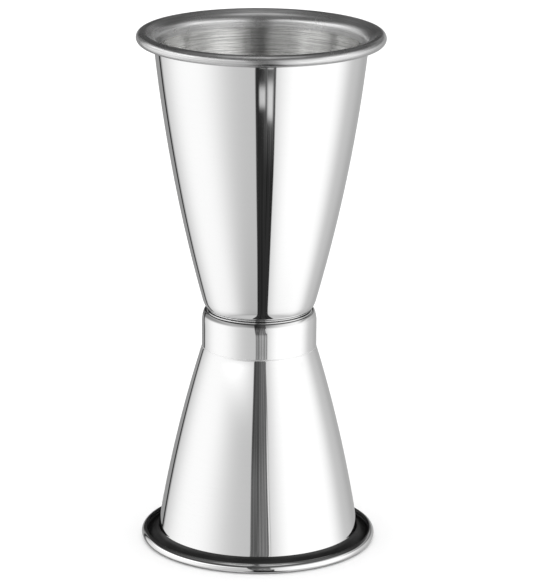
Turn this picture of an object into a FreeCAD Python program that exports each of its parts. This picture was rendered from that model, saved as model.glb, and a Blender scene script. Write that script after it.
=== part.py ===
"""Double-ended bar jigger: two deep-drawn steel cups, seated foot to foot and spot welded.

The origin is the centre of the small cup's mouth plane, which the jigger stands on, and +Z
runs up the axis to the large cup's mouth. Sizes are in millimetres.
"""
import FreeCAD, Part
import math
import os

import Sketcher
from FreeCAD import Rotation, Vector

DIMENSIONS = {
    "overall_height": 101.0,
    "sheet": 0.5,
    # Both mouths: the wall breaks outwards at a tight flare into a short sloping flange, turns
    # level for the width of a narrow crown, and rolls on round into a bead whose cut edge
    # faces back across an open channel. The centre of the flare lies inside and below the
    # centre of the crown's first bend, by the flare's inset and drop.
    "flare_radius": 1.5,
    "crown_width": 0.3,
    # Large cup. Its flat foot rests at the seat height, inside the small cup's dished end.
    "seat_height": 44.5,
    "large_rim_radius": 23.77,
    "large_bead_radius": 1.1,
    "large_flare_inset": 0.45,
    "large_flare_drop": 1.22,
    "large_wall_radius": 315.0,
    "foot_radius": 5.82,
    "foot_corner_radius": 5.36,
    # Small cup. A straight neck leaves its cone at a soft crease, and a rounded shoulder
    # turns over a tight crest into the dish.
    "small_rim_radius": 22.82,
    "small_bead_radius": 0.95,
    "small_flare_inset": 0.6,
    "small_flare_drop": 1.85,
    "small_wall_radius": 267.0,
    "neck_radius": 11.11,
    "neck_crease_height": 39.17,
    "crease_radius": 1.0,
    "shoulder_height": 44.1,
    "shoulder_radius": 5.5,
    "crest_height": 46.4,
    "crest_radius": 0.56,
    "dish_corner_radius": 5.5,
    # Spot welds through the two touching floors.
    "weld_count": 3,
    "weld_circle_radius": 3.5,
    "weld_radius": 1.2,
    "weld_dimple": 0.08,
}

LEFT = 1
RIGHT = -1
# Numbers that stand for the origin point, the two axes and an arc's centre in a constraint.
ORIGIN = (-1, 1)
H_AXIS = -1
V_AXIS = -2
CENTRE = 3


def make_sheet(doc):
    """Spreadsheet of the driving dimensions, one alias a row."""
    sheet = doc.addObject("Spreadsheet::Sheet", "dims")
    for row, (alias, value) in enumerate(DIMENSIONS.items(), start=1):
        sheet.set(f"A{row}", alias)
        sheet.set(f"B{row}", str(value))
        sheet.setAlias(f"B{row}", alias)
    doc.recompute()
    return sheet


def origin_plane(body, role):
    """The body's own origin plane or axis with this role."""
    return next(item for item in body.Origin.OriginFeatures if item.Role == role)


def new_sketch(body, name, role):
    """Empty sketch of the body, lying on one of its origin planes."""
    sketch = body.newObject("Sketcher::SketchObject", name)
    sketch.AttachmentSupport = [(origin_plane(body, role), "")]
    sketch.MapMode = "FlatFace"
    return sketch


def circles_crossing(centre_a, radius_a, centre_b, radius_b):
    """Crossing point of two circles that lies to the left of the way from a to b."""
    apart = centre_b - centre_a
    along = (radius_a**2 - radius_b**2 + apart.Length**2) / (2 * apart.Length)
    across = math.sqrt(radius_a**2 - along**2)
    unit = apart / apart.Length
    return centre_a + unit * along + Vector(-unit.y, unit.x) * across


class Section:
    """Half section of a cup, drawn as two skins one sheet thickness apart.

    Each skin is a smooth chain of arcs and lines that starts on the axis as a flat floor.
    An arc is a pair (centre, bend), where bend is its radius with the sign of its turn.
    A line is the unit vector of its direction.
    """

    def __init__(self, sketch):
        self.sketch = sketch

    def constrain(self, kind, *places):
        return self.sketch.addConstraint(Sketcher.Constraint(kind, *places))

    def drive(self, name, formula, kind, *places):
        """Dimension with a name, driven by a formula of the spreadsheet's cells."""
        index = self.constrain(kind, *places)
        self.sketch.renameConstraint(index, name)
        self.sketch.setExpression(f"Constraints.{name}", formula)

    def joints(self, path, start):
        """Points where each element of the path meets the next, beginning with its start."""
        points = [start]
        for here, after in zip(path, path[1:]):
            arc, other = (here, after) if isinstance(here, tuple) else (after, here)
            centre, bend = arc
            if isinstance(other, tuple):
                left = (centre - other[0]) / (bend - other[1])
            else:
                left = Vector(-other.y, other.x)
            points.append(centre - left * bend)
        return points

    def draw_skin(self, path, start, finish):
        """Draws one skin and returns its pieces as (index, first end, last end)."""
        points = self.joints(path, start) + [finish]
        pieces = []
        for element, head, tail in zip(path, points, points[1:]):
            if isinstance(element, tuple):
                centre, bend = element
                low, high = (head, tail) if bend > 0 else (tail, head)
                begin = math.atan2(low.y - centre.y, low.x - centre.x)
                end = math.atan2(high.y - centre.y, high.x - centre.x)
                circle = Part.Circle(centre, Vector(0, 0, 1), abs(bend))
                arc = Part.ArcOfCircle(circle, begin, end + (2 * math.pi if end < begin else 0))
                index = self.sketch.addGeometry(arc, False)
                pieces.append((index, 1, 2) if bend > 0 else (index, 2, 1))
            else:
                index = self.sketch.addGeometry(Part.LineSegment(head, tail), False)
                pieces.append((index, 1, 2))
                if element.y == 0:
                    self.constrain("Horizontal", index)
                elif element.x == 0:
                    self.constrain("Vertical", index)
        for here, after in zip(pieces, pieces[1:]):
            self.constrain("Tangent", here[0], here[2], after[0], after[1])
        return pieces

    def draw(self, path, floor_height, sheet):
        """Draws both skins and closes them at the axis and at the end of the rolled bead."""
        inside = [
            (element[0], element[1] - sheet) if isinstance(element, tuple) else element
            for element in path
        ]
        bead_centre, bead_bend = path[-1]
        # The last arc has turned half a circle from the level crown, so it ends below its centre.
        ends = [bead_centre + Vector(0, bend) for bend in (bead_bend, bead_bend - sheet)]
        starts = [Vector(0, floor_height), Vector(0, floor_height + sheet)]
        outer = self.draw_skin(path, starts[0], ends[0])
        inner = self.draw_skin(inside, starts[1], ends[1])
        for element, skin, lining in zip(path, outer, inner):
            if isinstance(element, tuple):
                self.constrain("Coincident", skin[0], CENTRE, lining[0], CENTRE)

        on_axis = self.sketch.addGeometry(Part.LineSegment(*starts), False)
        self.constrain("Coincident", on_axis, 1, outer[0][0], outer[0][1])
        self.constrain("Coincident", on_axis, 2, inner[0][0], inner[0][1])
        self.constrain("Vertical", on_axis)
        self.drive("sheet", "dims.sheet", "DistanceY", on_axis, 1, on_axis, 2, sheet)

        bead, lining = outer[-1], inner[-1]
        edge = self.sketch.addGeometry(Part.LineSegment(*ends), False)
        self.constrain("Coincident", edge, 1, bead[0], bead[2])
        self.constrain("Coincident", edge, 2, lining[0], lining[2])
        self.constrain("Vertical", edge)
        self.constrain("Vertical", bead[0], CENTRE, bead[0], bead[2])
        return outer, inner

    def drive_mouth(self, outer, inner, dims, cup, height_formula, height):
        """Dimensions of the wall's arc, flare, sloping flange, flat crown and rolled bead."""
        wall, flare, flange, turn, crown, bead = (piece[0] for piece in outer[-6:])
        rim = f"dims.{cup}_rim_radius - dims.{cup}_bead_radius"
        rim_value = dims[f"{cup}_rim_radius"] - dims[f"{cup}_bead_radius"]
        inset, drop = dims[f"{cup}_flare_inset"], dims[f"{cup}_flare_drop"]
        width = dims["crown_width"]
        self.drive("wall", f"dims.{cup}_wall_radius", "Radius", wall, dims[f"{cup}_wall_radius"])
        self.drive("flare", "dims.flare_radius", "Radius", flare, dims["flare_radius"])
        self.drive(
            "bead", f"dims.{cup}_bead_radius",
            "Radius", inner[-1][0], dims[f"{cup}_bead_radius"],
        )
        self.constrain("Equal", turn, bead)
        self.constrain("Parallel", flange, inner[-4][0])
        self.drive("rim", rim, "DistanceX", *ORIGIN, bead, CENTRE, rim_value)
        self.drive("crown", "dims.crown_width", "DistanceX", crown, 1, crown, 2, width)
        self.drive(
            "inset", f"dims.{cup}_flare_inset",
            "DistanceX", flare, CENTRE, turn, CENTRE, inset,
        )
        self.drive(
            "drop", f"dims.{cup}_flare_drop",
            "DistanceY", flare, CENTRE, turn, CENTRE, drop,
        )
        self.drive("height", height_formula, "DistanceY", *ORIGIN, inner[-2][0], 1, height)


def mouth_path(dims, cup, height, foot_arc):
    """The wall, flare, flange, level crown and bead that follow the arc at the wall's foot."""
    bead_radius = dims[f"{cup}_bead_radius"]
    flare_bend = RIGHT * dims["flare_radius"]
    bead_bend = RIGHT * (bead_radius - dims["sheet"])
    wall_bend = LEFT * dims[f"{cup}_wall_radius"]
    bead_centre = Vector(dims[f"{cup}_rim_radius"] - bead_radius, height - bead_radius)
    turn_centre = bead_centre - Vector(dims["crown_width"], 0)
    rise = Vector(dims[f"{cup}_flare_inset"], dims[f"{cup}_flare_drop"])
    flare_centre = turn_centre - rise
    # The flange touches the flare and the crown's first bend, which curve the same way.
    slope = math.atan2(rise.y, rise.x) - math.asin((bead_bend - flare_bend) / rise.Length)
    wall_centre = circles_crossing(
        foot_arc[0],
        abs(wall_bend - foot_arc[1]),
        flare_centre,
        abs(wall_bend - flare_bend),
    )
    return [
        (wall_centre, wall_bend),
        (flare_centre, flare_bend),
        Vector(math.cos(slope), math.sin(slope)),
        (turn_centre, bead_bend),
        Vector(1, 0),
        (bead_centre, bead_bend),
    ]


def revolve(body, sketch):
    """Full turn of the section about the sketch's vertical axis."""
    revolution = body.newObject("PartDesign::Revolution", "revolution")
    revolution.Profile = sketch
    revolution.ReferenceAxis = (sketch, ["V_Axis"])
    revolution.Angle = 360
    body.Tip = revolution
    body.Document.recompute()
    return revolution


def turn_about_axis(body, feature, name):
    """Repeats one feature around the cup's axis, once for each spot weld."""
    pattern = body.newObject("PartDesign::PolarPattern", name)
    pattern.Originals = [feature]
    pattern.Axis = (origin_plane(body, "Z_Axis"), [""])
    pattern.Angle = 360
    pattern.setExpression("Occurrences", "dims.weld_count")
    body.Tip = pattern
    body.Document.recompute()


def weld_circle(body, name, dims):
    """Sketch of the outline of the first spot weld, which lies on the X axis."""
    drawn = Section(new_sketch(body, name, "XY_Plane"))
    place = Vector(dims["weld_circle_radius"], 0)
    outline = Part.Circle(place, Vector(0, 0, 1), dims["weld_radius"])
    circle = drawn.sketch.addGeometry(outline, False)
    drawn.constrain("PointOnObject", circle, CENTRE, H_AXIS)
    drawn.drive("place", "dims.weld_circle_radius", "DistanceX", *ORIGIN, circle, CENTRE, place.x)
    drawn.drive("radius", "dims.weld_radius", "Radius", circle, dims["weld_radius"])
    return drawn.sketch


def cut_weld_holes(body, dims):
    """Round holes in the floor, which the weld nuggets fill."""
    solid = body.Tip.Shape.Volume
    sketch = weld_circle(body, "weld_hole_sketch", dims)
    pocket = body.newObject("PartDesign::Pocket", "weld_hole")
    pocket.Profile = sketch
    pocket.Type = "ThroughAll"
    pocket.SideType = "Symmetric"
    body.Tip = pocket
    body.Document.recompute()
    turn_about_axis(body, pocket, "weld_holes")
    removed = solid - body.Tip.Shape.Volume
    expected = dims["weld_count"] * math.pi * dims["weld_radius"] ** 2 * dims["sheet"]
    if abs(removed - expected) > 0.01 * expected:
        raise RuntimeError(f"{body.Label}: the holes take {removed:.3f} mm3, not {expected:.3f}")


def large_cup(doc, dims):
    """Tall cup: flat foot, rounded corner and slightly bellied wall up to the rolled mouth."""
    body = doc.addObject("PartDesign::Body", "large_cup")
    body.setExpression("Placement.Base.z", "dims.seat_height")
    height = dims["overall_height"] - dims["seat_height"]
    corner = (
        Vector(dims["foot_radius"], dims["foot_corner_radius"]),
        LEFT * dims["foot_corner_radius"],
    )
    path = [Vector(1, 0), corner, *mouth_path(dims, "large", height, corner)]

    drawn = Section(new_sketch(body, "section", "XZ_Plane"))
    outer, inner = drawn.draw(path, 0, dims["sheet"])
    floor, foot_corner = outer[0], outer[1][0]
    drawn.constrain("Coincident", floor[0], floor[1], *ORIGIN)
    drawn.drive("foot", "dims.foot_radius", "DistanceX", *ORIGIN, foot_corner, CENTRE, corner[0].x)
    drawn.drive("foot_corner", "dims.foot_corner_radius", "Radius", foot_corner, corner[1])
    formula = "dims.overall_height - dims.seat_height"
    drawn.drive_mouth(outer, inner, dims, "large", formula, height)
    revolve(body, drawn.sketch)
    cut_weld_holes(body, dims)
    return body


def small_cup(doc, dims):
    """Short cup, drawn mouth up from its crest plane and then turned over to stand on its mouth."""
    body = doc.addObject("PartDesign::Body", "small_cup")
    body.Placement.Rotation = Rotation(Vector(1, 0, 0), 180)
    body.setExpression("Placement.Base.z", "dims.crest_height")
    crest = dims["crest_height"]
    floor_height = crest - dims["seat_height"]
    shoulder = (
        Vector(dims["neck_radius"] - dims["shoulder_radius"], crest - dims["shoulder_height"]),
        LEFT * dims["shoulder_radius"],
    )
    crest_bend = LEFT * dims["crest_radius"]
    dish_bend = RIGHT * dims["dish_corner_radius"]
    crease = (
        Vector(dims["neck_radius"] + dims["crease_radius"], crest - dims["neck_crease_height"]),
        RIGHT * dims["crease_radius"],
    )
    # The crest lies inside the shoulder's arc and rises to the crest plane, and the dish's
    # corner touches both the crest and the flat of the dish.
    crest_drop = shoulder[0].y - crest_bend
    crest_out = math.sqrt((shoulder[1] - crest_bend) ** 2 - crest_drop**2)
    crest_arc = (Vector(shoulder[0].x + crest_out, crest_bend), crest_bend)
    dish_centre_height = floor_height + dish_bend
    dish_drop = crest_bend - dish_centre_height
    dish_in = math.sqrt((crest_bend - dish_bend) ** 2 - dish_drop**2)
    dish = (Vector(crest_arc[0].x - dish_in, dish_centre_height), dish_bend)
    path = [
        Vector(1, 0),
        dish,
        crest_arc,
        shoulder,
        Vector(0, 1),
        crease,
        *mouth_path(dims, "small", crest, crease),
    ]

    drawn = Section(new_sketch(body, "section", "XZ_Plane"))
    outer, inner = drawn.draw(path, floor_height, dims["sheet"])
    floor, dish_arc, crest_piece, shoulder_arc, neck, crease_arc = (piece[0] for piece in outer[:6])
    drawn.constrain("PointOnObject", floor, 1, V_AXIS)
    drawn.drive(
        "dish_depth", "dims.crest_height - dims.seat_height",
        "DistanceY", *ORIGIN, floor, 1, floor_height,
    )
    drawn.drive("dish_corner", "dims.dish_corner_radius", "Radius", dish_arc, abs(dish_bend))
    drawn.drive("crest", "dims.crest_radius", "Radius", crest_piece, crest_bend)
    drawn.drive(
        "crest_top", "dims.crest_radius",
        "DistanceY", *ORIGIN, crest_piece, CENTRE, crest_bend,
    )
    drawn.drive("shoulder", "dims.shoulder_radius", "Radius", shoulder_arc, shoulder[1])
    drawn.drive(
        "shoulder_drop", "dims.crest_height - dims.shoulder_height",
        "DistanceY", *ORIGIN, shoulder_arc, CENTRE, shoulder[0].y,
    )
    drawn.drive("neck", "dims.neck_radius", "DistanceX", *ORIGIN, neck, 1, dims["neck_radius"])
    drawn.drive("crease", "dims.crease_radius", "Radius", crease_arc, dims["crease_radius"])
    drawn.drive(
        "crease_drop", "dims.crest_height - dims.neck_crease_height",
        "DistanceY", *ORIGIN, crease_arc, CENTRE, crease[0].y,
    )
    drawn.drive_mouth(outer, inner, dims, "small", "dims.crest_height", crest)
    revolve(body, drawn.sketch)
    cut_weld_holes(body, dims)
    return body


def spot_weld_nuggets(doc, dims):
    """Plugs of fused metal through both floors, their ends pressed below the sheet's faces."""
    body = doc.addObject("PartDesign::Body", "spot_weld_nuggets")
    body.AllowCompound = True
    body.setExpression("Placement.Base.z", "dims.seat_height")
    sketch = weld_circle(body, "nugget_sketch", dims)
    nugget = body.newObject("PartDesign::Pad", "nugget")
    nugget.Profile = sketch
    nugget.SideType = "Symmetric"
    nugget.setExpression("Length", "2 * (dims.sheet - dims.weld_dimple)")
    body.Tip = nugget
    doc.recompute()
    turn_about_axis(body, nugget, "nuggets")
    return body


def check(doc, bodies):
    """Stops on any object that failed to compute and on any shape that isn't whole."""
    for item in doc.Objects:
        if {"Invalid", "Error"} & set(item.State):
            raise RuntimeError(f"{item.Label} failed: {item.State}")
    for item in doc.findObjects("Sketcher::SketchObject"):
        if item.solve() != 0 or not item.FullyConstrained:
            raise RuntimeError(f"{item.Label} is not fully constrained")
    for body in bodies:
        if body.Shape.isNull() or not body.Shape.isValid():
            raise RuntimeError(f"{body.Label} has no valid shape")


def main():
    doc = FreeCAD.newDocument("jigger")
    sheet = make_sheet(doc)
    dims = {alias: sheet.get(alias) for alias in DIMENSIONS}
    bodies = [make(doc, dims) for make in (large_cup, small_cup, spot_weld_nuggets)]
    doc.recompute()
    check(doc, bodies)
    os.makedirs("parts", exist_ok=True)
    for body in bodies:
        body.Shape.exportStep(f"parts/{body.Label}.step")
        print(body.Label, len(body.Shape.Solids), "solids", round(body.Shape.Volume, 2), "mm3")


main()
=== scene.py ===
"""Visual model of the bar jigger: two spun cups of polished steel sheet, standing on a pale floor.

Everything is in metres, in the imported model's frame: the jigger stands on the small cup's mouth
at the origin, and +Z runs up its axis.
"""
import math

import bmesh
import bpy
from mathutils import Matrix, Vector


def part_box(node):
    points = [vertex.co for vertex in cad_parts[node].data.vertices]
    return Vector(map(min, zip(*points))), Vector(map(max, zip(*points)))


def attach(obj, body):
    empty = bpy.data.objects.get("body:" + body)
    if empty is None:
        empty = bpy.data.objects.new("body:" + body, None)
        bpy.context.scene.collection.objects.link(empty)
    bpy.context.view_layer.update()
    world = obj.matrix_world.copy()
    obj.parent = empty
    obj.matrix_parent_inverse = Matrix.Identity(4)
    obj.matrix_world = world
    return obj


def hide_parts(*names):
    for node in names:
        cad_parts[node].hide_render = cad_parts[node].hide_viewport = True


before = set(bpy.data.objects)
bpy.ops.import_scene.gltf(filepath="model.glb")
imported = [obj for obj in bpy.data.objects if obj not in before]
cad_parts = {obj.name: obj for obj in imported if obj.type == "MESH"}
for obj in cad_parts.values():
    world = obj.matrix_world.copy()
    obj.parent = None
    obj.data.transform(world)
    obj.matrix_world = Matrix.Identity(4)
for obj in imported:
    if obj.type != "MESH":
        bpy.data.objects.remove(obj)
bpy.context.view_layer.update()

MM = 0.001
LEFT = 1
RIGHT = -1

# Sizes that both cups share.
SHEET = 0.5 * MM
FLARE_RADIUS = 1.5 * MM
CROWN_WIDTH = 0.3 * MM
# Large cup.
LARGE_BEAD_RADIUS = 1.1 * MM
LARGE_FLARE = (0.45 * MM, 1.22 * MM)
LARGE_WALL_RADIUS = 315 * MM
FOOT_RADIUS = 5.82 * MM
FOOT_CORNER_RADIUS = 5.36 * MM
# Small cup.
SMALL_BEAD_RADIUS = 0.95 * MM
SMALL_FLARE = (0.6 * MM, 1.85 * MM)
SMALL_WALL_RADIUS = 267 * MM
NECK_RADIUS = 11.11 * MM
NECK_LENGTH = 7.23 * MM
CREASE_RADIUS = 1.0 * MM
SHOULDER_RADIUS = 5.5 * MM
SHOULDER_DEPTH = 2.3 * MM
CREST_RADIUS = 0.56 * MM
DISH_CORNER_RADIUS = 5.5 * MM
# Spot welds.
WELD_COUNT = 3
WELD_CIRCLE_RADIUS = 3.5 * MM
WELD_RADIUS = 1.2 * MM
WELD_DIMPLE = 0.08 * MM
WELD_CLEARANCE = 0.002 * MM
# Form of a weld's ends, as shares of the dimple's depth and of the weld's radius.
WELD_DISH = 0.35
WELD_RIDGE = 0.5
WELD_RIDGE_PLACE = 0.78
WELD_RIDGE_WIDTH = 0.12
# Share of the flare's outside that stays bright steel; the channel beyond it is painted near black
# as shade.
UNSHADED_SHARE_OF_FLARE = 0.15

# Fineness of the meshes.
SEGMENTS = 320
WELD_SEGMENTS = 48
WELD_RINGS = 14
ARC_STEP = math.radians(6)
LONG_STEP = 1.2 * MM

# What each of a cup's four materials covers.
OUTSIDE, INSIDE, CHANNEL, LIP = range(4)

large_low, large_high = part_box("large_cup")
small_low, small_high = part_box("small_cup")
SEAT_HEIGHT = large_low.z
CREST_HEIGHT = small_high.z
LARGE_HEIGHT = large_high.z - large_low.z
LARGE_RIM_RADIUS = (large_high.x - large_low.x) / 2
SMALL_RIM_RADIUS = (small_high.x - small_low.x) / 2


# ---------------------------------------------------------------- outlines


def circles_crossing(centre_a, radius_a, centre_b, radius_b):
    """Crossing point of two circles that lies to the left of the way from a to b."""
    apart = centre_b - centre_a
    along = (radius_a**2 - radius_b**2 + apart.length_squared) / (2 * apart.length)
    across = math.sqrt(radius_a**2 - along**2)
    unit = apart.normalized()
    return centre_a + unit * along + Vector((-unit.y, unit.x)) * across


def mouth_path(rim_radius, bead_radius, flare, wall_radius, height, foot_arc):
    """The wall, flare, flange, level crown and bead that follow the arc at a wall's foot.

    An arc is a pair (centre, bend), where bend is its radius with the sign of its turn, and a
    line is the unit vector of its direction.
    """
    bead_bend = RIGHT * (bead_radius - SHEET)
    bead_centre = Vector((rim_radius - bead_radius, height - bead_radius))
    turn_centre = bead_centre - Vector((CROWN_WIDTH, 0))
    rise = Vector(flare)
    flare_centre = turn_centre - rise
    # The flange touches the flare and the crown's first bend, which curve the same way.
    slope = math.atan2(rise.y, rise.x) - math.asin((FLARE_RADIUS + bead_bend) / rise.length)
    wall_centre = circles_crossing(
        foot_arc[0],
        wall_radius - foot_arc[1],
        flare_centre,
        wall_radius + FLARE_RADIUS,
    )
    return [
        (wall_centre, LEFT * wall_radius),
        (flare_centre, RIGHT * FLARE_RADIUS),
        Vector((math.cos(slope), math.sin(slope))),
        (turn_centre, bead_bend),
        Vector((1, 0)),
        (bead_centre, bead_bend),
    ]


def large_path():
    """Outer skin of the large cup from the edge of its flat foot, with the foot at height 0."""
    corner = (Vector((FOOT_RADIUS, FOOT_CORNER_RADIUS)), LEFT * FOOT_CORNER_RADIUS)
    mouth = mouth_path(
        LARGE_RIM_RADIUS,
        LARGE_BEAD_RADIUS,
        LARGE_FLARE,
        LARGE_WALL_RADIUS,
        LARGE_HEIGHT,
        corner,
    )
    return [corner, *mouth]


def small_path():
    """Outer skin of the small cup from the edge of its dish, mouth up, with its crest at 0."""
    floor_height = CREST_HEIGHT - SEAT_HEIGHT
    shoulder = (Vector((NECK_RADIUS - SHOULDER_RADIUS, SHOULDER_DEPTH)), LEFT * SHOULDER_RADIUS)
    crest_out = math.sqrt(
        (SHOULDER_RADIUS - CREST_RADIUS) ** 2 - (SHOULDER_DEPTH - CREST_RADIUS) ** 2
    )
    crest = (Vector((shoulder[0].x + crest_out, CREST_RADIUS)), LEFT * CREST_RADIUS)
    dish_height = floor_height - DISH_CORNER_RADIUS
    dish_in = math.sqrt(
        (CREST_RADIUS + DISH_CORNER_RADIUS) ** 2 - (CREST_RADIUS - dish_height) ** 2
    )
    dish = (Vector((crest[0].x - dish_in, dish_height)), RIGHT * DISH_CORNER_RADIUS)
    crease = (Vector((NECK_RADIUS + CREASE_RADIUS, NECK_LENGTH)), RIGHT * CREASE_RADIUS)
    mouth = mouth_path(
        SMALL_RIM_RADIUS,
        SMALL_BEAD_RADIUS,
        SMALL_FLARE,
        SMALL_WALL_RADIUS,
        CREST_HEIGHT,
        crease,
    )
    return [dish, crest, shoulder, Vector((0, 1)), crease, *mouth]


def lining(path):
    """The same path one sheet thickness to the left, on the inside of the cup."""
    return [
        (element[0], element[1] - SHEET) if isinstance(element, tuple) else element
        for element in path
    ]


def joints(path, start, finish):
    """Points where each element of the path meets the next, with its two ends."""
    points = [start]
    for here, after in zip(path, path[1:]):
        (centre, bend), other = (here, after) if isinstance(here, tuple) else (after, here)
        if isinstance(other, tuple):
            left = (centre - other[0]) / (bend - other[1])
        else:
            left = Vector((-other.y, other.x))
        points.append(centre - left * bend)
    return [*points, finish]


def sampled(path, start, finish):
    """Points along a path, close together where it bends tightly."""
    ends = joints(path, start, finish)
    points = [start]
    for element, head, tail in zip(path, ends, ends[1:]):
        if not isinstance(element, tuple):
            steps = max(1, math.ceil((tail - head).length / LONG_STEP))
            points += [head.lerp(tail, step / steps) for step in range(1, steps + 1)]
            continue
        centre, bend = element
        begin = math.atan2(head.y - centre.y, head.x - centre.x)
        end = math.atan2(tail.y - centre.y, tail.x - centre.x)
        if bend > 0 and end < begin:
            end += math.tau
        if bend < 0 and end > begin:
            end -= math.tau
        turn = end - begin
        steps = max(math.ceil(abs(turn) / ARC_STEP), math.ceil(abs(turn * bend) / LONG_STEP))
        for step in range(1, steps + 1):
            angle = begin + turn * step / steps
            points.append(centre + Vector((math.cos(angle), math.sin(angle))) * abs(bend))
    return points


# ---------------------------------------------------------------- meshes


def out_of_round(angle, height):
    """Small radial error that drawing and polishing leave, as a share of the radius."""
    return (
        0.0011 * math.sin(2 * angle + 0.6)
        + 0.0005 * math.sin(3 * angle + 95 * height)
        + 0.00025 * math.sin(5 * angle - 160 * height + 1.0)
        + 0.0001 * math.sin(9 * angle + 240 * height)
    )


def ring(bm, radius, height, place):
    """One closed ring of vertices, moved to where the cup stands."""
    vertices = []
    for segment in range(SEGMENTS):
        angle = math.tau * segment / SEGMENTS
        point = place @ Vector((radius * math.cos(angle), radius * math.sin(angle), height))
        true_radius = 1 + out_of_round(math.atan2(point.y, point.x), point.z)
        vertices.append(bm.verts.new((point.x * true_radius, point.y * true_radius, point.z)))
    return vertices


def circle_edges(bm, vertices):
    """The edges of a closed loop of vertices, made where they don't exist yet."""
    return [
        bm.edges.get((one, two)) or bm.edges.new((one, two))
        for one, two in zip(vertices, vertices[1:] + vertices[:1])
    ]


def sharpen(bm, loops):
    """Makes the shading break at closed loops of vertices, where a cut face is square."""
    for loop in loops:
        for edge in circle_edges(bm, loop):
            edge.smooth = False


def join_rings(bm, one, two, material):
    """The band of faces between two rings."""
    for index in range(len(one)):
        after = (index + 1) % len(one)
        face = bm.faces.new((one[index], one[after], two[after], two[index]))
        face.material_index = material


def weld_centres():
    """Places of the spot welds round the axis, on the seat between the two floors."""
    return [
        Matrix.Rotation(math.tau * number / WELD_COUNT, 3, "Z")
        @ Vector((WELD_CIRCLE_RADIUS, 0, SEAT_HEIGHT))
        for number in range(WELD_COUNT)
    ]


def band_material(point, on_lining, on_cut_edge, channel_start, lip_start):
    """Which material covers the band of a cup that begins at this point of its outline."""
    if on_lining:
        return LIP if point.x > lip_start.x else INSIDE
    if point.y >= channel_start.y and not on_cut_edge:
        return CHANNEL
    return OUTSIDE


def drilled_floor(bm, edge_ring, level, material):
    """Flat floor inside a ring, with a hole for each weld. Gives back the rings of the holes."""
    edges = circle_edges(bm, edge_ring)
    holes = []
    for centre in weld_centres():
        hole = []
        for segment in range(WELD_SEGMENTS):
            angle = math.tau * segment / WELD_SEGMENTS
            out = Vector((math.cos(angle), math.sin(angle))) * WELD_RADIUS
            hole.append(bm.verts.new((centre.x + out.x, centre.y + out.y, level)))
        edges += circle_edges(bm, hole)
        holes.append(hole)
    filled = bmesh.ops.triangle_fill(bm, edges=edges, use_beauty=True)
    for item in filled["geom"]:
        if isinstance(item, bmesh.types.BMFace):
            item.material_index = material
    return holes


def cup(name, path, floor_height, place, materials):
    """A cup of bent sheet, spun from its outline, with a hole in its floor at each weld."""
    bead_centre, bead_bend = path[-1]
    floor_edge = path[0][0].x
    skin = sampled(
        path,
        Vector((floor_edge, floor_height)),
        bead_centre + Vector((0, bead_bend)),
    )
    inside = sampled(
        lining(path),
        Vector((floor_edge, floor_height + SHEET)),
        bead_centre + Vector((0, bead_bend - SHEET)),
    )
    # Counted from the outline's end, the flare begins at the sixth joint and ends at the fifth.
    flare_start, flare_end = joints(path, skin[0], skin[-1])[-6:-4]
    # The channel, painted near black as shade, begins here.
    channel_start = flare_start.lerp(flare_end, UNSHADED_SHARE_OF_FLARE)
    lip_start = joints(lining(path), inside[0], inside[-1])[-6]

    bm = bmesh.new()
    outline = skin + inside[::-1]
    last_of_skin = len(skin) - 1
    rings = [ring(bm, point.x, point.y, place) for point in outline]
    for number, (one, two) in enumerate(zip(rings, rings[1:])):
        on_lining = number > last_of_skin
        on_cut_edge = number == last_of_skin
        material = band_material(
            outline[number], on_lining, on_cut_edge, channel_start, lip_start
        )
        join_rings(bm, one, two, material)
    sharpen(bm, rings[last_of_skin:last_of_skin + 2])

    hole_rings = []
    for edge_ring, height, material in (
        (rings[0], floor_height, OUTSIDE),
        (rings[-1], floor_height + SHEET, INSIDE),
    ):
        level = (place @ Vector((0, 0, height))).z
        hole_rings.append(drilled_floor(bm, edge_ring, level, material))
    for one, two in zip(*hole_rings):
        join_rings(bm, one, two, INSIDE)
        sharpen(bm, (one, two))
    return finished(name, bm, materials)


def finished(name, bm, materials):
    """Turns a bmesh into a smooth-shaded object that rides on the jigger's body."""
    bmesh.ops.recalc_face_normals(bm, faces=bm.faces)
    for face in bm.faces:
        face.smooth = True
    mesh = bpy.data.meshes.new(name)
    bm.to_mesh(mesh)
    bm.free()
    for material in materials:
        mesh.materials.append(material)
    piece = bpy.data.objects.new(name, mesh)
    bpy.context.scene.collection.objects.link(piece)
    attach(piece, "root")
    return piece


def weld_end():
    """Radius and height of a nugget's upper end, from its edge inwards.

    It is deepest in the middle, with a low ridge near three quarters of the radius.
    """
    outline = []
    for step in range(WELD_RINGS, 0, -1):
        share = step / WELD_RINGS
        ridge = WELD_RIDGE * math.exp(-(((share - WELD_RIDGE_PLACE) / WELD_RIDGE_WIDTH) ** 2))
        dish = -WELD_DISH * (1 - share**2)
        height = SHEET - WELD_DIMPLE + WELD_DIMPLE * (dish + ridge)
        outline.append(((WELD_RADIUS - WELD_CLEARANCE) * share, height))
    return outline


def spot_welds(material):
    """The weld nuggets, each end dished by the electrode inside a low ring of pushed-up metal."""
    bm = bmesh.new()
    upper_end = weld_end()
    lower_end = [(radius, -height) for radius, height in upper_end[::-1]]
    for centre in weld_centres():
        loops = []
        for radius, height in lower_end + upper_end:
            loop = []
            for segment in range(WELD_SEGMENTS):
                angle = math.tau * segment / WELD_SEGMENTS
                out = Vector((radius * math.cos(angle), radius * math.sin(angle), height))
                loop.append(bm.verts.new(centre + out))
            loops.append(loop)
        for one, two in zip(loops, loops[1:]):
            join_rings(bm, one, two, 0)
        sharpen(bm, loops[WELD_RINGS - 1:WELD_RINGS + 1])
        for loop in (loops[0], loops[-1]):
            bm.faces.new(loop)
    return finished("spot_welds", bm, [material])


# ---------------------------------------------------------------- node helpers

# Powers that give a bell these forms.
ROUND = 2.0
FLAT_TOPPED = 4.0
NEARLY_SQUARE = 6.0


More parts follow.
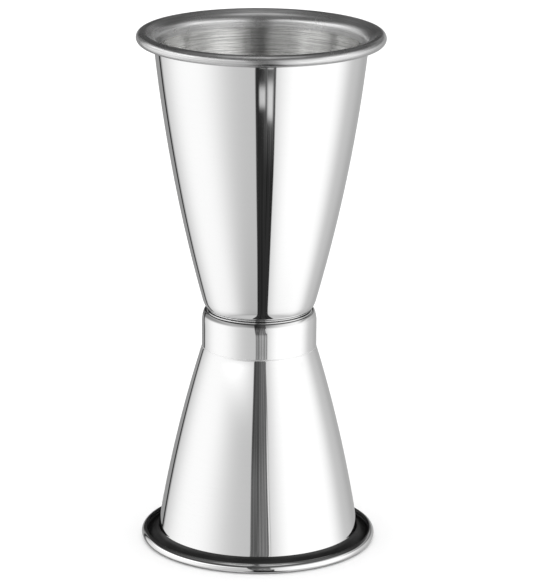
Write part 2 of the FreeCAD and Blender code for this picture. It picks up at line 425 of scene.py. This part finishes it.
class Graph:
    """Short calls for the few kinds of node that the materials and the world use."""

    def __init__(self, tree):
        self.tree = tree
        tree.nodes.clear()

    def node(self, kind, inputs=None, **settings):
        made = self.tree.nodes.new(kind)
        for name, value in settings.items():
            setattr(made, name, value)
        for name, value in (inputs or {}).items():
            self.feed(made.inputs[name], value)
        return made

    def feed(self, socket, value):
        if isinstance(value, bpy.types.NodeSocket):
            self.tree.links.new(value, socket)
        else:
            socket.default_value = value

    def math(self, operation, *values):
        made = self.tree.nodes.new("ShaderNodeMath")
        made.operation = operation
        for socket, value in zip(made.inputs, values):
            self.feed(socket, value)
        return made.outputs[0]

    def product(self, first, *others):
        for other in others:
            first = self.math("MULTIPLY", first, other)
        return first

    def smooth(self, value, low, high, low_result=0.0, high_result=1.0):
        """Goes smoothly from low_result at low to high_result at high."""
        return self.node(
            "ShaderNodeMapRange",
            {
                "Value": value,
                "From Min": low,
                "From Max": high,
                "To Min": low_result,
                "To Max": high_result,
            },
            interpolation_type="SMOOTHSTEP",
        ).outputs[0]

    def bell(self, value, middle, width, power):
        """1 in the middle and near 0 beyond the width to either side.

        The higher the power, the squarer it is.
        """
        away = self.math("ABSOLUTE", self.math("SUBTRACT", value, middle))
        share = self.math("POWER", self.math("DIVIDE", away, width), power)
        return self.math("EXPONENT", self.math("MULTIPLY", share, -1.0))

    def noise(self, vector, scale=1.0, detail=3.0, roughness=0.55):
        return self.node(
            "ShaderNodeTexNoise",
            {"Vector": vector, "Scale": scale, "Detail": detail, "Roughness": roughness},
        ).outputs[0]

    def vector(self, *parts):
        return self.node("ShaderNodeCombineXYZ", dict(zip("XYZ", parts))).outputs[0]

    def parts(self, vector):
        return self.node("ShaderNodeSeparateXYZ", {"Vector": vector}).outputs

    def position(self):
        return self.node("ShaderNodeNewGeometry").outputs["Position"]

    def blend(self, amount, one, two):
        """Colour that goes from one to two as the amount goes from 0 to 1."""
        mixed = self.node("ShaderNodeMix", data_type="RGBA")
        for index, value in ((0, amount), (6, one), (7, two)):
            self.feed(mixed.inputs[index], value)
        return mixed.outputs[2]


# ---------------------------------------------------------------- materials


def lathe_coordinates(graph, around, along):
    """Texture space that wraps round the axis: its features run around the piece.

    around sets how often they change on the way round, and along how often across the rings.
    """
    x, y, z = graph.parts(graph.position())
    least_radius = 0.1 * MM
    squares = graph.math("ADD", graph.product(x, x), graph.product(y, y))
    radius = graph.math("MAXIMUM", graph.math("SQRT", squares), least_radius)
    turn_x = graph.product(graph.math("DIVIDE", x, radius), around)
    turn_y = graph.product(graph.math("DIVIDE", y, radius), around)
    meridian = graph.product(graph.math("ADD", z, radius), along)
    return graph.vector(turn_x, turn_y, meridian)


def weld_distance(graph):
    """Distance to the nearest spot weld's middle."""
    parts = graph.parts(graph.position())
    nearest = None
    for centre in weld_centres():
        squares = [
            graph.math("POWER", graph.math("SUBTRACT", part, middle), 2.0)
            for part, middle in zip(parts, centre)
        ]
        total = graph.math("ADD", graph.math("ADD", squares[0], squares[1]), squares[2])
        distance = graph.math("SQRT", total)
        nearest = distance if nearest is None else graph.math("MINIMUM", nearest, distance)
    return nearest


def new_material(name):
    material = bpy.data.materials.new(name)
    material.use_nodes = True
    return material, Graph(material.node_tree)


def crease_and_painted_shade(graph):
    """Dull crease under the neck, and painted shade on the shoulder below the seam and on the rim
    that rests on the floor.
    """
    x, _, height = graph.parts(graph.position())
    # The mop leaves a thin dull line where it can't follow the crease.
    crease_height = CREST_HEIGHT - NECK_LENGTH
    crease_reach = 0.16 * MM
    crease = graph.bell(height, crease_height, crease_reach, FLAT_TOPPED)
    # Painted shade darkens the shoulder below the seam, least on the right.
    seam_shade_height = CREST_HEIGHT - 0.5 * MM
    seam_shade_reach = 0.4 * MM
    painted_seam_shade = graph.product(
        graph.bell(height, seam_shade_height, seam_shade_reach, FLAT_TOPPED),
        graph.smooth(x, -2.0 * MM, 8.0 * MM, 0.7, 0.1),
    )
    # Painted shade darkens the rim that the jigger rests on, next to the floor.
    painted_contact_shade = graph.smooth(height, 0.15 * MM, 0.45 * MM, 0.25, 1.0)
    return crease, graph.product(graph.math("SUBTRACT", 1.0, painted_seam_shade), painted_contact_shade)


def heat_tint(graph, base):
    """Straw and blue rings that spot welding leaves on the floor."""
    far = weld_distance(graph)
    strength = 0.55
    for radius, width, tint in (
        (1.9 * MM, 0.5 * MM, (0.62, 0.47, 0.28, 1)),
        (1.35 * MM, 0.3 * MM, (0.25, 0.3, 0.42, 1)),
    ):
        ring_strength = graph.product(graph.bell(far, radius, width, ROUND), strength)
        base = graph.blend(ring_strength, base, tint)
    return base


def build_steel(name, grey, roughness, smear, streak, line_depth, line_spacing, tinted=False):
    """Polished stainless steel with rings of fine polishing lines.

    smear stretches reflections across the lines, streak is how much the lines vary in tone,
    and tinted adds the heat colours that spot welding leaves on the floor.
    """
    material, graph = new_material(name)
    lines = graph.noise(
        lathe_coordinates(graph, around=2.5, along=1 / line_spacing),
        detail=4.0,
        roughness=0.65,
    )
    hazy_bands = graph.noise(lathe_coordinates(graph, around=1.2, along=90.0), roughness=0.5)
    rub_marks = graph.noise(
        lathe_coordinates(graph, around=9.0, along=260.0),
        detail=5.0,
        roughness=0.6,
    )
    crease, painted_shade_mask = crease_and_painted_shade(graph)

    haze = graph.smooth(hazy_bands, 0.35, 0.75, 0.85, 1.3)
    wear = graph.smooth(rub_marks, 0.62, 0.8, 1.0, 1.7)
    crease_roughness = 0.42
    rough = graph.math(
        "MAXIMUM",
        graph.product(haze, wear, roughness),
        graph.product(crease, crease_roughness),
    )
    # The tone follows the polishing lines, times the painted shade below the seam and at the
    # resting rim.
    shade = graph.product(graph.smooth(lines, 0.25, 0.75, 1.0 - streak, 1.0 + streak / 3), painted_shade_mask)
    base = graph.node(
        "ShaderNodeVectorMath",
        {"Vector": grey, "Scale": shade},
        operation="SCALE",
    ).outputs[0]
    if tinted:
        base = heat_tint(graph, base)
    bump = graph.node("ShaderNodeBump", {"Height": lines, "Distance": line_depth}).outputs[0]
    tangent = graph.node("ShaderNodeTangent", direction_type="RADIAL", axis="Z").outputs[0]
    quarter_turn = 0.25
    shader = graph.node(
        "ShaderNodeBsdfPrincipled",
        {
            "Base Color": base,
            "Metallic": 1.0,
            "Roughness": rough,
            "Anisotropic": smear,
            "Anisotropic Rotation": quarter_turn,
            "Tangent": tangent,
            "Normal": bump,
        },
    )
    graph.node("ShaderNodeOutputMaterial", {"Surface": shader.outputs[0]})
    return material


def build_weld_metal():
    """Dull metal that was molten: grainy, with a grey skin towards its edge."""
    material, graph = new_material("weld_metal")
    grain = graph.noise(graph.position(), scale=5200.0, detail=5.0, roughness=0.6)
    towards_edge = graph.smooth(weld_distance(graph), 0.4 * MM, 1.1 * MM)
    base = graph.blend(towards_edge, (0.66, 0.65, 0.63, 1), (0.36, 0.34, 0.33, 1))
    bump = graph.node("ShaderNodeBump", {"Height": grain, "Distance": 0.02 * MM}).outputs[0]
    shader = graph.node(
        "ShaderNodeBsdfPrincipled",
        {
            "Base Color": base,
            "Metallic": 1.0,
            "Roughness": graph.smooth(grain, 0.3, 0.7, 0.3, 0.5),
            "Normal": bump,
        },
    )
    graph.node("ShaderNodeOutputMaterial", {"Surface": shader.outputs[0]})
    return material


# ---------------------------------------------------------------- studio


def build_floor():
    """Wide pale table top. The steel doesn't mirror it, because the light tent hides it."""
    below_rim = 0.02 * MM
    bpy.ops.mesh.primitive_circle_add(vertices=128, radius=3.0, fill_type="NGON")
    floor = bpy.context.object
    floor.name = "floor"
    floor.location.z = -below_rim
    floor.visible_glossy = False
    material, graph = new_material("floor_white")
    mottle = graph.smooth(graph.noise(graph.position(), scale=9.0), 0.3, 0.7, 0.925, 0.935)
    shader = graph.node("ShaderNodeBsdfDiffuse", {"Color": graph.vector(mottle, mottle, mottle)})
    graph.node("ShaderNodeOutputMaterial", {"Surface": shader.outputs[0]})
    floor.data.materials.append(material)


def mirrored_direction(graph):
    """Azimuth and elevation, in degrees, of the direction that the steel mirrors.

    Azimuth 0 is towards the camera and grows towards +X.
    """
    direction = graph.node("ShaderNodeTexCoord").outputs["Generated"]
    x, y, z = graph.parts(direction)
    in_degrees = 180 / math.pi
    azimuth = graph.math("ARCTAN2", x, graph.product(y, -1.0))
    elevation = graph.math("ARCSINE", z)
    return graph.product(azimuth, in_degrees), graph.product(elevation, in_degrees)


def tent_walls(graph, azimuth, elevation):
    """Glow of the tent's wall and of its panels."""
    # The light fades out above.
    fade = graph.smooth(elevation, 14.0, 40.0, 1.0, 0.0)
    # The wall is mid grey in front, darker behind the left edge, softer behind the right.
    wall = graph.product(
        graph.math(
            "SUBTRACT",
            graph.smooth(azimuth, -141.0, -137.0, 0.32, 0.58),
            graph.smooth(azimuth, 126.0, 152.0, 0.0, 0.13),
        ),
        graph.bell(elevation, -8.0, 52.0, NEARLY_SQUARE),
        fade,
    )
    left_glow = 0.5
    left_form = 2.8
    left = graph.product(
        graph.bell(azimuth, -86.0, 44.0, left_form),
        graph.bell(elevation, -8.0, 50.0, NEARLY_SQUARE),
        fade,
        left_glow,
    )
    right_glow = 0.6
    right_form = 4.5
    right = graph.product(
        graph.bell(azimuth, 64.0, 46.0, right_form),
        graph.bell(elevation, -7.0, 50.0, NEARLY_SQUARE),
        right_glow,
    )
    # A lamp above the left panel brightens the left of the large cup's inside.
    lamp_glow = 0.65
    lamp = graph.product(
        graph.bell(azimuth, -72.0, 60.0, FLAT_TOPPED),
        graph.bell(elevation, 20.0, 8.0, FLAT_TOPPED),
        lamp_glow,
    )
    panels = graph.math("ADD", left, right)
    return graph.math("ADD", graph.math("ADD", wall, panels), lamp)


def dimmed_behind(graph, azimuth, elevation, light):
    """The light where the tent is dim or open behind the jigger and above eye level."""
    dim = graph.product(
        graph.math(
            "MAXIMUM",
            graph.smooth(azimuth, 80.0, 105.0, 0.0, 0.6),
            graph.smooth(azimuth, -110.0, -140.0, 0.0, 0.35),
        ),
        graph.bell(elevation, 13.0, 6.0, NEARLY_SQUARE),
    )
    gap_azimuth = -173.0
    from_gap = graph.math("WRAP", graph.math("SUBTRACT", azimuth, gap_azimuth), 180.0, -180.0)
    gap = graph.product(
        graph.bell(from_gap, 0.0, 21.0, NEARLY_SQUARE),
        graph.smooth(elevation, 0.0, 6.0),
        graph.smooth(elevation, 34.0, 46.0, 0.98, 0.3),
    )
    far_up = graph.product(
        graph.smooth(graph.math("ABSOLUTE", azimuth), 100.0, 125.0),
        graph.smooth(elevation, 18.0, 28.0, 0.0, 0.6),
    )
    return graph.product(
        light,
        graph.math("SUBTRACT", 1.0, graph.math("MAXIMUM", dim, gap)),
        graph.math("SUBTRACT", 1.0, far_up),
    )


def brightened_ends(graph, elevation, light):
    """The light with the tent's faint roof, its top and the table under the jigger.

    From the front only tight curves mirror the last two, and walls do from above or below.
    """
    roof = graph.smooth(elevation, 30.0, 62.0, 0.03, 0.12)
    top = graph.smooth(elevation, 60.0, 80.0, 0.0, 0.6)
    table = graph.smooth(elevation, -46.0, -58.0, 0.0, 0.6)
    for part in (roof, top, table):
        light = graph.math("MAXIMUM", light, part)
    return light


def room_light(graph, across, elevation):
    """Dim room that shows through the slit, with upright streaks."""
    per_degree_across = 0.55
    per_degree_up = 0.035
    streaks = graph.noise(
        graph.vector(
            graph.product(across, per_degree_across),
            graph.product(elevation, per_degree_up),
            0.0,
        )
    )
    room = graph.smooth(elevation, -24.0, -12.0, 0.025, 0.11)
    band_glow = 0.16
    lit_band = graph.product(graph.bell(elevation, -16.0, 4.0, ROUND), band_glow)
    right_part = graph.product(
        graph.smooth(across, -2.0, 6.0, 0.0, 0.07),
        graph.smooth(elevation, -34.0, -27.0),
    )
    room = graph.product(
        graph.math("ADD", room, lit_band),
        graph.smooth(elevation, 4.0, 10.0, 1.0, 0.6),
    )
    return graph.product(
        graph.math("ADD", room, right_part),
        graph.smooth(streaks, 0.3, 0.7, 0.5, 1.6),
    )


def with_slit(graph, azimuth, elevation, light):
    """The light with the dark slit in front, where the lens looks in, and its small lamps."""
    # The slit leans a little, and widens low down.
    lean = 0.09
    across = graph.product(
        graph.math("ADD", azimuth, graph.product(elevation, lean)),
        graph.smooth(elevation, -76.0, -42.0, 0.2, 1.0),
    )
    slit = graph.product(
        graph.smooth(across, -9.0, -7.4),
        graph.smooth(across, 14.0, 15.6, 1.0, 0.0),
    )
    mixed = graph.node("ShaderNodeMix")
    graph.feed(mixed.inputs[0], slit)
    graph.feed(mixed.inputs[2], light)
    room = room_light(graph, across, elevation)
    graph.feed(mixed.inputs[3], graph.math("MINIMUM", room, light))
    light = mixed.outputs[0]
    # Two small lamps hang in the slit, low down, and a bright edge shows along its right side.
    glow = 0.6
    for middle, width, height, reach in (
        (-0.4, 3.7, -26.7, 0.95),
        (8.7, 3.4, -26.95, 1.7),
        (13.6, 0.9, 2.0, 9.0),
    ):
        lamp = graph.product(
            graph.bell(across, middle, width, NEARLY_SQUARE),
            graph.bell(elevation, height, reach, NEARLY_SQUARE),
            glow,
        )
        light = graph.math("ADD", light, lamp)
    return light


def tent_light(graph):
    """Brightness of the light tent round the jigger, by the direction that the steel mirrors.

    All its angles are in degrees, and all its brightnesses are shares of full white.
    """
    azimuth, elevation = mirrored_direction(graph)
    light = tent_walls(graph, azimuth, elevation)
    light = dimmed_behind(graph, azimuth, elevation, light)
    light = brightened_ends(graph, elevation, light)
    light = with_slit(graph, azimuth, elevation, light)
    # A dark pole at the tent's left rear edge.
    pole_darkness = 0.93
    pole = graph.product(graph.bell(azimuth, -145.0, 3.0, FLAT_TOPPED), pole_darkness)
    return graph.product(light, graph.math("SUBTRACT", 1.0, pole))


def build_world():
    """White surroundings for the camera and the floor, and the light tent in the steel."""
    world = bpy.data.worlds.new("studio")
    world.use_nodes = True
    bpy.context.scene.world = world
    graph = Graph(world.node_tree)
    surround = 1.3
    plain = graph.node("ShaderNodeBackground", {"Color": (1, 1, 1, 1), "Strength": surround})
    tent = graph.node(
        "ShaderNodeBackground", {"Color": (1, 1, 1, 1), "Strength": tent_light(graph)}
    )
    mirrored = graph.node("ShaderNodeLightPath").outputs["Is Glossy Ray"]
    both = graph.node("ShaderNodeMixShader", {"Fac": mirrored})
    graph.feed(both.inputs[1], plain.outputs[0])
    graph.feed(both.inputs[2], tent.outputs[0])
    graph.node("ShaderNodeOutputWorld", {"Surface": both.outputs[0]})


def build_camera():
    """A long lens in front of the jigger and above it, rolled by a little under half a degree."""
    distance = 636.4 * MM
    height = 230.2 * MM
    pitch = math.radians(15.87)
    roll = math.radians(0.45)
    sideways = math.radians(0.122)
    data = bpy.data.cameras.new("camera")
    data.lens = 209.4
    data.sensor_width = 36.0
    data.clip_start = 0.01
    data.clip_end = 20.0
    camera = bpy.data.objects.new("camera", data)
    bpy.context.scene.collection.objects.link(camera)
    aim = (
        Matrix.Rotation(-sideways, 4, "Z")
        @ Matrix.Rotation(math.pi / 2 - pitch, 4, "X")
        @ Matrix.Rotation(roll, 4, "Z")
    )
    camera.matrix_world = Matrix.Translation((0, -distance, height)) @ aim
    bpy.context.scene.camera = camera


# ---------------------------------------------------------------- the scene

mirror = build_steel(
    "mirror_steel",
    grey=(0.9, 0.9, 0.9),
    roughness=0.04,
    smear=0.3,
    streak=0.01,
    line_depth=0.0001 * MM,
    line_spacing=0.12 * MM,
)
satin = build_steel(
    "satin_steel",
    grey=(0.93, 0.93, 0.92),
    roughness=0.16,
    smear=0.9,
    streak=0.45,
    line_depth=0.004 * MM,
    line_spacing=0.2 * MM,
    tinted=True,
)
soft = build_steel(
    "lip_steel",
    grey=(0.8, 0.8, 0.8),
    roughness=0.3,
    smear=0.3,
    streak=0.35,
    line_depth=0.004 * MM,
    line_spacing=0.14 * MM,
)
# Near-black steel that paints the shade in the channel between the wall and the bead.
groove_shade_steel = build_steel(
    "painted_groove_shade",
    grey=(0.08, 0.08, 0.08),
    roughness=0.4,
    smear=0.3,
    streak=0.3,
    line_depth=0.004 * MM,
    line_spacing=0.3 * MM,
)
weld = build_weld_metal()

stand_up = Matrix.Translation((0, 0, SEAT_HEIGHT))
turn_over = Matrix.Translation((0, 0, CREST_HEIGHT)) @ Matrix.Rotation(math.pi, 4, "X")
large = cup("large_cup_steel", large_path(), 0.0, stand_up, [mirror, satin, groove_shade_steel, soft])
small = cup(
    "small_cup_steel",
    small_path(),
    CREST_HEIGHT - SEAT_HEIGHT,
    turn_over,
    [mirror, satin, groove_shade_steel, mirror],
)
welds = spot_welds(weld)
for piece, node, slot in (
    (large, "large_cup", "polished_steel"),
    (small, "small_cup", "polished_steel"),
    (welds, "spot_weld_nuggets", "weld_metal"),
):
    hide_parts(node)

build_floor()
build_world()
build_camera()
bpy.context.scene.view_settings.view_transform = "Standard"
